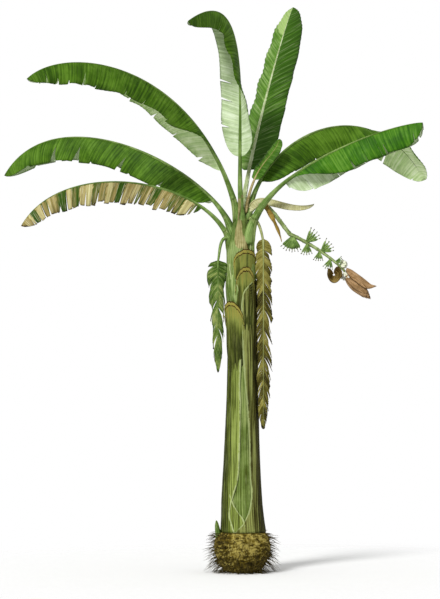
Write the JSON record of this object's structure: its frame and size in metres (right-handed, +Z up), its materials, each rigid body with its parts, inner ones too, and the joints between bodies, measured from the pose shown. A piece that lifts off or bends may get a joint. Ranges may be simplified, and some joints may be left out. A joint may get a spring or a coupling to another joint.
{
  "type": "banana plant",
  "caption": "Banana plant in flower: round root ball, sheathed stem, arching leaves, hanging dead leaves and a drooping flower stalk with young fruit and a bud.",
  "frame": {"origin": "middle of the corm's flat underside, on the surface that the plant stands on", "axes": "+Z up along the stem, -Y towards the front, +X to the right of the front, where the flower stalk hangs"},
  "size_m": [3.2775, 2.287, 4.3573],
  "materials": {
    "corm": "rough fibrous root ball",
    "stem": "satin, with lengthwise fibres",
    "stalk": "satin green stalk",
    "dry_sheath": "dry papery sheath",
    "leaf": "waxy leaf, paler below",
    "faded_leaf": "dry striped leaf",
    "dead_leaf": "withered leaf",
    "pale_bract": "matt papery bract",
    "fruit": "satin green fruit skin",
    "bud": "satin brown bract"
  },
  "bodies": {
    "root": {"corm": "corm", "pseudostem": "stem", "sucker_bud": "stalk", "old_sheath_lower": "dry_sheath", "old_sheath_middle": "dry_sheath", "old_sheath_upper": "dry_sheath", "peduncle": "fruit", "rachis": "fruit", "hand_1": "fruit", "hand_2_upper": "fruit", "hand_2_lower": "fruit", "hand_3_upper": "fruit", "hand_3_lower": "fruit", "hand_4": "fruit", "hand_5": "fruit", "flower_bud": "bud", "bract_lifted": "bud", "bract_curled": "bud", "bract_flag": "pale_bract", "bract_dry": "dry_sheath", "leaf_hanging_left_stalk": "stalk", "leaf_hanging_left_blade": "dead_leaf", "leaf_hanging_left_tail": "dead_leaf", "leaf_hanging_right_stalk": "stalk", "leaf_hanging_right_blade_upper": "dead_leaf", "leaf_hanging_right_blade_lower": "dead_leaf", "leaf_straight_right_stalk": "stalk", "leaf_straight_right_blade_inner": "leaf", "leaf_straight_right_blade_outer": "leaf", "leaf_low_left_stalk": "stalk", "leaf_low_left_blade_inner": "faded_leaf", "leaf_low_left_blade_outer": "faded_leaf", "leaf_middle_left_stalk": "stalk", "leaf_middle_left_blade_inner": "leaf", "leaf_middle_left_blade_outer": "leaf", "leaf_high_left_stalk": "stalk", "leaf_high_left_blade_inner": "leaf", "leaf_high_left_blade_outer": "leaf", "leaf_arched_right_stalk": "stalk", "leaf_arched_right_blade_inner": "leaf", "leaf_arched_right_blade_outer": "leaf", "leaf_top_left_stalk": "stalk", "leaf_top_left_blade_inner": "leaf", "leaf_top_left_blade_outer": "leaf", "leaf_top_right_stalk": "stalk", "leaf_top_right_blade_inner": "leaf", "leaf_top_right_blade_outer": "leaf", "leaf_young_stalk": "stalk", "leaf_young_blade": "leaf"}
  },
  "joints": []
}
